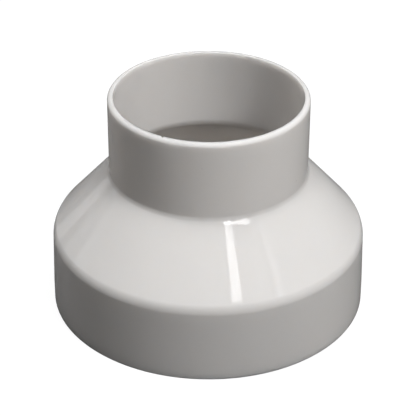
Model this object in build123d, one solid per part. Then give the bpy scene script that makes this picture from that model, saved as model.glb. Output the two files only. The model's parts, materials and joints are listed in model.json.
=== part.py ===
from build123d import *
from math import atan2, cos, radians, sin
import os

# Duct reducer: one moulding of rigid plastic that joins a wide round duct to a narrow one.
# It stands on its wide mouth. The origin is the centre of that mouth, and +Z runs up the axis
# to the narrow mouth. -Y is the front. Lengths are in millimetres and angles in degrees.

# The wide spigot, which a duct slides over: straight at its mouth, then slimmer by the mould's draft
wide_diameter = 160.0
wide_length = 40.0  # from the wide mouth up to the corner where the cone starts
wide_land = 10.0  # the straight part
wide_slim = 0.8  # what the draft takes off the radius from the land up to the cone

# The narrow spigot and the cone between the two
narrow_diameter = 100.0
narrow_length = 41.0  # from the corner where the cone ends up to the narrow mouth
cone_height = 33.0

# The wall, of even thickness all the way up, and its roundings on the outside
wall = 2.8
shoulder_radius = 8.0  # wide spigot into cone
neck_radius = 4.0  # cone into narrow spigot

# The narrow mouth: the inner edge broken, a narrow flat ring, and the rest of the wall rounded outside
rim_break = 0.5  # of the inner edge, along and across
rim_flat = 0.3

# The wide mouth, which the part stands on: its outer edge is broken as a lead-in, its inner edge is sharp
foot_chamfer = 0.5

# A small nick across the inner edge of the narrow mouth, which runs out on the rim
nick_depth = 0.9  # at its deep end, which stands as far inside the bore
nick_length = 2.4
nick_angle = 27.0  # from the front towards -X

# Radii and heights that follow from the sizes above
wide_outer = wide_diameter / 2
wide_inner = wide_outer - wall
shoulder_outer = wide_outer - wide_slim
narrow_outer = narrow_diameter / 2
narrow_inner = narrow_outer - wall
cone_top = wide_length + cone_height
height = cone_top + narrow_length

# How far each length of the wall leans inwards from upright, in radians
upright = 0
draft_lean = atan2(wide_slim, wide_length - wide_land)
cone_lean = atan2(shoulder_outer - narrow_outer, cone_height)


def inner_corner(radius, level, lean_below, lean_above):
    """The inner corner of the even wall behind its outer corner, where it turns from one lean to the next."""
    middle = (lean_below + lean_above) / 2
    reach = wall / cos(middle - lean_below)
    return radius - reach * cos(middle), level - reach * sin(middle)


def wall_section():
    """Half section of the wall: its corners from the foot up the outside and down the inside, as
    radius, height and rounding. The inner roundings share their centres with the outer ones."""
    sharp = 0
    land_end = (wide_outer, wide_land)
    shoulder = (shoulder_outer, wide_length)
    neck_foot = (narrow_outer, cone_top)
    corners = [
        (wide_outer - foot_chamfer, 0, sharp),
        (wide_outer, foot_chamfer, sharp),
        (*land_end, sharp),
        (*shoulder, shoulder_radius),
        (*neck_foot, neck_radius),
        (narrow_outer, height, wall - rim_flat - rim_break),
        (narrow_inner + rim_break, height, sharp),
        (narrow_inner, height - rim_break, sharp),
        (*inner_corner(*neck_foot, cone_lean, upright), neck_radius + wall),
        (*inner_corner(*shoulder, draft_lean, cone_lean), max(shoulder_radius - wall, sharp)),
        (*inner_corner(*land_end, upright, draft_lean), sharp),
        (wide_inner, 0, sharp),
    ]
    points = [(radius, 0, level) for radius, level, rounding in corners]
    roundings = [rounding for radius, level, rounding in corners]
    return make_face(FilletPolyline(*points, radius=roundings, close=True))


def rim_nick():
    """A cone lying in the narrow mouth, its wide end inside the bore and its point out on the rim."""
    outward = Vector(-sin(radians(nick_angle)), -cos(radians(nick_angle)), 0)
    deep_end = outward * (narrow_inner - nick_depth) + Vector(0, 0, height)
    lying = Plane(origin=deep_end, z_dir=outward)
    return lying * Cone(nick_depth, 0, nick_length, align=(Align.CENTER, Align.CENTER, Align.MIN))


reducer_body = revolve(wall_section(), Axis.Z) - rim_nick()
reducer_body.label = "reducer_body"

os.makedirs("parts", exist_ok=True)
export_step(reducer_body, "parts/reducer_body.step")
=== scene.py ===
import bmesh
import bpy
import json
from math import atan2, cos, hypot, radians, sin, tan
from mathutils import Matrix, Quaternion, Vector


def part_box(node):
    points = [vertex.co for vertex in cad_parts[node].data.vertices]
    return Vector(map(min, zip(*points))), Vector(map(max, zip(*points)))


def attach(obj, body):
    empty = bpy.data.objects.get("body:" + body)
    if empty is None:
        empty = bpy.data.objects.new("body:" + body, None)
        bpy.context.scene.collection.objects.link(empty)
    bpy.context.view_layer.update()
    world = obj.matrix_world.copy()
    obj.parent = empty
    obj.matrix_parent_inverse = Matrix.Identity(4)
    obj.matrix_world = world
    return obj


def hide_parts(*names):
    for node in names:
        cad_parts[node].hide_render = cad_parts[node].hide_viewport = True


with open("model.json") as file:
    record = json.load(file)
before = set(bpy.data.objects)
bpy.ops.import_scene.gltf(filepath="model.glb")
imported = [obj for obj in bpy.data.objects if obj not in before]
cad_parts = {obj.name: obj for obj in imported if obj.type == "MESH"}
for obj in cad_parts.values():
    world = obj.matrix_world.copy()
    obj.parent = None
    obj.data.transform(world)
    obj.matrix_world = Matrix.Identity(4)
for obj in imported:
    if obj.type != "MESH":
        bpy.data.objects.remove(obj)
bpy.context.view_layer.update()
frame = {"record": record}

# Reducer shell: the whole fitting, a thin-walled sleeve with a wide collar, a cone and a narrow neck on one
# axis. It is one injection moulding in rigid PVC. Nothing is fixed to it: it stands on the mouth of its
# collar, and the ducts slide over the two plain ends.
MM = 0.001
mounts = {mount["name"]: mount["dims"] for mount in frame["record"]["mounts"]}
collar_radius = mounts["wide_spigot"]["r_mm"] * MM
neck_radius = mounts["narrow_spigot"]["r_mm"] * MM
bore_radius = mounts["narrow_bore"]["r_mm"] * MM
wall = neck_radius - bore_radius
foot_level = 0
foot_chamfer = 0.5 * MM
collar_land = 10 * MM
collar_height = 40 * MM
collar_slim = 0.8 * MM
shoulder_radius = collar_radius - collar_slim
cone_top = 73.4 * MM  # where the cone's straight slope would meet the neck
shell_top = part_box("reducer_body")[1].z
shoulder_rounding = 8 * MM
neck_rounding = 3.4 * MM
rim_outer_rounding = 2.0 * MM
rim_break = 0.12 * MM
guard_depth = 4 * MM

# How far the wall leans inwards: the land and the neck not at all, the collar above its land by the mould's
# draft, and the cone by its slope
upright = 0
draft_lean = atan2(collar_slim, collar_height - collar_land)
cone_lean = atan2(shoulder_radius - neck_radius, cone_top - collar_height)


def inside_of(radius, height, lean_below, lean_above):
    """The inner corner of an even wall behind its outer corner, where it turns from one lean to the next."""
    middle = (lean_below + lean_above) / 2
    reach = wall / cos(middle - lean_below)
    return radius - reach * cos(middle), height - reach * sin(middle)


# Beside the neck the cone sinks a little, as thick corners do when a moulding cools: its last length leans
# further in, and the corner lies lower than the straight slope would put it.
sink_run = 3.0 * MM
sink_lean = cone_lean + radians(3.5)
sink_start = cone_top - sink_run / tan(cone_lean)
neck_foot = sink_start + sink_run / tan(sink_lean)

# Rings of the wall as radius, height, rounding and steps of the rounding, from the foot up the outside and
# down the inside. The ring at the guard depth keeps the nick's cut within short faces.
ring_sides = 256
shoulder_steps = 12
neck_steps = 10
rim_steps = 8
inner_shoulder_steps = 8
sharp = (0, 0)
rings = [
    (collar_radius - foot_chamfer, foot_level, *sharp),
    (collar_radius, foot_chamfer, *sharp),
    (collar_radius, collar_land, *sharp),
    (shoulder_radius, collar_height, shoulder_rounding, shoulder_steps),
    (neck_radius + sink_run, sink_start, *sharp),
    (neck_radius, neck_foot, neck_rounding, neck_steps),
    (neck_radius, shell_top, rim_outer_rounding, rim_steps),
    (bore_radius + rim_break, shell_top, *sharp),
    (bore_radius, shell_top - rim_break, *sharp),
    (bore_radius, shell_top - guard_depth, *sharp),
    (*inside_of(neck_radius, cone_top, cone_lean, upright), neck_rounding + wall, neck_steps),
    (
        *inside_of(shoulder_radius, collar_height, draft_lean, cone_lean),
        shoulder_rounding - wall, inner_shoulder_steps,
    ),
    (*inside_of(collar_radius, collar_land, upright, draft_lean), *sharp),
    (collar_radius - wall, foot_level, *sharp),
]

# The first ring is a circle, which is extruded from ring to ring and resized at each.
bpy.ops.object.select_all(action="DESELECT")
bpy.ops.mesh.primitive_circle_add(vertices=ring_sides, radius=rings[0][0])
shell = bpy.context.object
shell.name = "reducer_shell"
shell.data.name = "reducer_shell"
bpy.ops.object.mode_set(mode="EDIT")
bpy.ops.mesh.select_all(action="SELECT")
for (last_radius, last_height, *_), (radius, height, *_) in zip(rings, rings[1:]):
    bpy.ops.mesh.extrude_region_move(TRANSFORM_OT_translate={"value": (0, 0, height - last_height)})
    bpy.ops.transform.resize(value=(radius / last_radius, radius / last_radius, 1))

# The last ring is joined to the first under the foot, which closes the wall.
bpy.ops.mesh.select_all(action="DESELECT")
bpy.ops.mesh.select_mode(type="EDGE")
bpy.ops.mesh.select_non_manifold()
bpy.ops.mesh.bridge_edge_loops()
bpy.ops.mesh.select_all(action="SELECT")
bpy.ops.mesh.normals_make_consistent(inside=False)


def select_ring(radius, height):
    """Selects only the edges that lie on the ring of that radius and height."""
    near = 0.02 * MM
    bpy.ops.mesh.select_all(action="DESELECT")
    mesh = bmesh.from_edit_mesh(shell.data)
    for edge in mesh.edges:
        ends = [(hypot(corner.co.x, corner.co.y), corner.co.z) for corner in edge.verts]
        if all(abs(out - radius) < near and abs(up - height) < near for out, up in ends):
            edge.select = True
    mesh.select_flush_mode()
    bmesh.update_edit_mesh(shell.data)


# Each rounded corner is bevelled from where an arc of its radius touches the two walls.
round_profile = 0.5
for before, ring, after in zip(rings, rings[1:], rings[2:]):
    radius, height, rounding, steps = ring
    if rounding:
        turn = (Vector(ring[:2]) - Vector(before[:2])).angle(Vector(after[:2]) - Vector(ring[:2]))
        touch = rounding * tan(turn / 2)
        select_ring(radius, height)
        bpy.ops.mesh.bevel(offset=touch, segments=steps, profile=round_profile, affect="EDGES")
bpy.ops.object.mode_set(mode="OBJECT")

# The nick in the inner edge of the rim, left of the front: a cone lying across the edge is cut away. Its wide
# end stands a little inside the bore, and its point is out on the rim.
nick_depth = 1.0 * MM
nick_reach = 0.4 * MM
nick_length = 2.4 * MM
nick_turn = radians(27)
nick_sides = 24
nick_out = Vector((-sin(nick_turn), -cos(nick_turn), 0))
nick_middle = nick_out * (bore_radius - nick_reach + nick_length / 2) + Vector((0, 0, shell_top))
bpy.ops.object.select_all(action="DESELECT")
bpy.ops.mesh.primitive_cone_add(
    vertices=nick_sides, radius1=nick_depth, radius2=0, depth=nick_length,
    location=nick_middle, rotation=nick_out.to_track_quat("Z", "Y").to_euler(),
)
nick_cutter = bpy.context.object
bpy.context.view_layer.objects.active = shell
shell.select_set(True)
nick_cut = shell.modifiers.new("nick", "BOOLEAN")
nick_cut.object = nick_cutter
nick_cut.operation = "DIFFERENCE"
nick_cut.solver = "EXACT"
bpy.ops.object.modifier_apply(modifier=nick_cut.name)
bpy.data.objects.remove(nick_cutter)

# Long faces keep their own direction and the roundings turn between them, so reflections run straight.
sharpest_smooth_edge = radians(30)
bpy.ops.object.shade_smooth_by_angle(angle=sharpest_smooth_edge)
face_weight = shell.modifiers.new("long faces lead", "WEIGHTED_NORMAL")
face_weight.keep_sharp = True
bpy.ops.object.modifier_apply(modifier=face_weight.name)


def linear(hex_colour):
    """An sRGB hex colour as the linear RGBA that the shaders take."""
    channels = [int(hex_colour[i:i + 2], 16) / 255 for i in (1, 3, 5)]
    return [c / 12.92 if c <= 0.04045 else ((c + 0.055) / 1.055) ** 2.4 for c in channels] + [1.0]


def add_node(tree, kind, inputs=None, **settings):
    """Adds a node with its settings. Inputs maps a socket's name or number to a value or to another node's
    output."""
    made = tree.nodes.new(kind)
    for name, value in settings.items():
        setattr(made, name, value)
    for socket, value in (inputs or {}).items():
        if isinstance(value, bpy.types.NodeSocket):
            tree.links.new(value, made.inputs[socket])
        else:
            made.inputs[socket].default_value = value
    return made


# Rigid PVC from a polished mould: the eye gets a pale warm grey with faint clouds and a few specks, a clear
# gloss that hardly wavers and is a little duller in patches, and light that soaks through the thin wall.
pvc_ior = 1.53
cloud_width = 45 * MM
cloud_dark = linear("#ddd9d6")
cloud_light = linear("#e2ddd9")
speck_spacing = 14 * MM
speck_core = 0.168 * MM
speck_edge = 0.336 * MM
speck_strength = 0.5
speck_grey = linear("#8f8983")
patch_width = 25 * MM
clear_roughness = 0.01
dull_roughness = 0.035
ripple_width = 12 * MM
ripple_height = 0.004 * MM
scatter_depth = 9.0 * MM
scatter_by_channel = (1.0, 0.95, 0.9)  # red goes deepest, which warms what shines through

# A colour mix has its sockets by number: the share of the second colour, the two colours, and the result.
SHARE = 0
FIRST = 6
SECOND = 7
MIXED = 2

pvc = bpy.data.materials.new("moulded_rigid_pvc")
pvc.use_nodes = True
tree = pvc.node_tree
tree.nodes.clear()
place = add_node(tree, "ShaderNodeTexCoord").outputs["Object"]
cloud = add_node(tree, "ShaderNodeTexNoise", {"Vector": place, "Scale": 1 / cloud_width, "Detail": 2})
tone = add_node(
    tree, "ShaderNodeMix",
    {SHARE: cloud.outputs["Fac"], FIRST: cloud_dark, SECOND: cloud_light}, data_type="RGBA",
)
grain = add_node(tree, "ShaderNodeTexVoronoi", {"Vector": place, "Scale": 1 / speck_spacing})
speck = add_node(
    tree, "ShaderNodeMapRange",
    {
        "Value": grain.outputs["Distance"],
        "From Min": speck_core / speck_spacing, "From Max": speck_edge / speck_spacing,
        "To Min": speck_strength, "To Max": 0.0,
    },
)
flecked = add_node(
    tree, "ShaderNodeMix",
    {SHARE: speck.outputs[0], FIRST: tone.outputs[MIXED], SECOND: speck_grey}, data_type="RGBA",
)
patch = add_node(tree, "ShaderNodeTexNoise", {"Vector": place, "Scale": 1 / patch_width, "Detail": 3})
haze = add_node(
    tree, "ShaderNodeMapRange",
    {"Value": patch.outputs["Fac"], "To Min": clear_roughness, "To Max": dull_roughness},
)
flow = add_node(tree, "ShaderNodeTexNoise", {"Vector": place, "Scale": 1 / ripple_width, "Detail": 1})
ripple = add_node(tree, "ShaderNodeBump", {"Height": flow.outputs["Fac"], "Distance": ripple_height})
surface = add_node(
    tree, "ShaderNodeBsdfPrincipled",
    {
        "Base Color": flecked.outputs[MIXED], "Roughness": haze.outputs[0], "IOR": pvc_ior,
        "Normal": ripple.outputs[0], "Subsurface Weight": 1.0,
        "Subsurface Radius": scatter_by_channel, "Subsurface Scale": scatter_depth,
    },
)
add_node(tree, "ShaderNodeOutputMaterial", {"Surface": surface.outputs["BSDF"]})
shell.data.materials.clear()
shell.data.materials.append(pvc)
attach(shell, "root")
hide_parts("reducer_body")

# Floor: a plain sheet of paper that the reducer stands on. It is white to the camera and keeps the soft
# shadow. It throws little light back up, so that the collar stays as dark as in the photograph.
floor_size = 6000 * MM
floor_matte = linear("#595959")
floor_white = linear("#f7f7f7")
share_in_gloss = 0.05


def white_to_camera(tree, reflected):
    """A strength of 1 where the camera looks straight at it, and of the reflected share where it shows in
    gloss or glass."""
    rays = add_node(tree, "ShaderNodeLightPath")
    glossy = rays.outputs["Is Glossy Ray"]
    through = rays.outputs["Is Transmission Ray"]
    seen = add_node(tree, "ShaderNodeMath", {0: glossy, 1: through}, operation="ADD")
    return add_node(
        tree, "ShaderNodeMath", {0: seen.outputs[0], 1: reflected, 2: rays.outputs["Is Camera Ray"]},
        operation="MULTIPLY_ADD",
    ).outputs[0]


bpy.ops.object.select_all(action="DESELECT")
bpy.ops.mesh.primitive_plane_add(size=floor_size)
floor = bpy.context.object
floor.name = "floor"
paper = bpy.data.materials.new("pale_paper")
paper.use_nodes = True
tree = paper.node_tree
tree.nodes.clear()
matte = add_node(tree, "ShaderNodeBsdfDiffuse", {"Color": floor_matte})
white = add_node(
    tree, "ShaderNodeEmission",
    {"Color": floor_white, "Strength": white_to_camera(tree, reflected=share_in_gloss)},
)
both = add_node(tree, "ShaderNodeAddShader", {0: matte.outputs[0], 1: white.outputs[0]})
add_node(tree, "ShaderNodeOutputMaterial", {"Surface": both.outputs[0]})
floor.data.materials.append(paper)

# Studio light: flat lamps hung round the reducer, which all face a point on its axis
lamp_target = Vector((0, 0, 60 * MM))


def hang_lamp(name, watts, azimuth, elevation, distance, width, height, lean=0, mirrored=True):
    """Hangs a flat lamp that faces the reducer, in metres and degrees. Azimuth runs from the front to the
    right, and lean turns the lamp in its own plane. A lamp that isn't mirrored doesn't show in the gloss."""
    lamp = bpy.data.lights.new(name, "AREA")
    lamp.shape = "RECTANGLE"
    lamp.size = width
    lamp.size_y = height
    lamp.energy = watts
    hung = bpy.data.objects.new(name, lamp)
    round_by = radians(azimuth)
    rise = radians(elevation)
    away = Vector((sin(round_by) * cos(rise), -cos(round_by) * cos(rise), sin(rise)))
    hung.location = lamp_target + away * distance
    hung.rotation_mode = "QUATERNION"
    hung.rotation_quaternion = away.to_track_quat("Z", "Y") @ Quaternion((0, 0, 1), radians(lean))
    hung.visible_camera = False
    hung.visible_glossy = mirrored
    bpy.context.scene.collection.objects.link(hung)


# Three softboxes give the light: the key at the front right, one overhead and a weaker one at the left, a
# little behind. They stay out of the gloss, which mirrors only the smaller lamps after them.
softbox_distance = 1.5
softbox_side = 0.5
for name, watts, azimuth, elevation in (
    ("key_softbox", 16.4, 45, 50),
    ("top_softbox", 13.6, 0, 88),
    ("left_softbox", 6.0, 248, 56),
):
    hang_lamp(name, watts, azimuth, elevation, softbox_distance, softbox_side, softbox_side, mirrored=False)

# Three lamps that the cone mirrors at its front right: the bright streak, the bar across the top of the
# streak, and a faint streak further right
hang_lamp(
    "streak_strip", watts=0.46, azimuth=24.5, elevation=48.47, distance=1.2,
    width=0.126, height=0.229, lean=-9.2,
)
hang_lamp(
    "tick_panel", watts=1.47, azimuth=37.1, elevation=51.0, distance=1.5,
    width=0.548, height=0.131, lean=-23.5,
)
hang_lamp(
    "far_strip", watts=0.032, azimuth=59.3, elevation=38.6, distance=1.2,
    width=0.100, height=0.113, lean=-23.5,
)

# Two strips that the cone mirrors as faint bands at its left edge
hang_lamp("side_strip", watts=0.030, azimuth=229.5, elevation=3.0, distance=0.6, width=0.109, height=0.169)
hang_lamp("slim_strip", watts=0.014, azimuth=255.2, elevation=17.5, distance=0.9, width=0.066, height=0.126)

# Background, white to the camera and nearly dark in the gloss. It doesn't light the reducer.
world = bpy.data.worlds.new("studio")
bpy.context.scene.world = world
world.use_nodes = True
tree = world.node_tree
tree.nodes.clear()
backdrop = add_node(
    tree, "ShaderNodeBackground",
    {"Color": linear("#ffffff"), "Strength": white_to_camera(tree, reflected=share_in_gloss)},
)
add_node(tree, "ShaderNodeOutputWorld", {"Surface": backdrop.outputs[0]})

# Camera at the photograph's viewing angle and distance, rolled a little as the photograph is. The sensor and
# the focal length are in millimetres.
camera_rise = radians(31.518)
camera_roll = radians(0.31)
camera_distance = 865.3 * MM
camera_aim = Vector((-0.163 * MM, 0, 48.85 * MM))
sensor_width = 36
focal_length = 146.7
lens = bpy.data.cameras.new("camera")
lens.sensor_width = sensor_width
lens.lens = focal_length
camera = bpy.data.objects.new("camera", lens)
camera.location = camera_aim + camera_distance * Vector((0, -cos(camera_rise), sin(camera_rise)))
camera_tilt = Quaternion((1, 0, 0), radians(90) - camera_rise)
camera.rotation_euler = (camera_tilt @ Quaternion((0, 0, 1), camera_roll)).to_euler()
bpy.context.scene.collection.objects.link(camera)
bpy.context.scene.camera = camera

bpy.context.scene.view_settings.view_transform = "Standard"
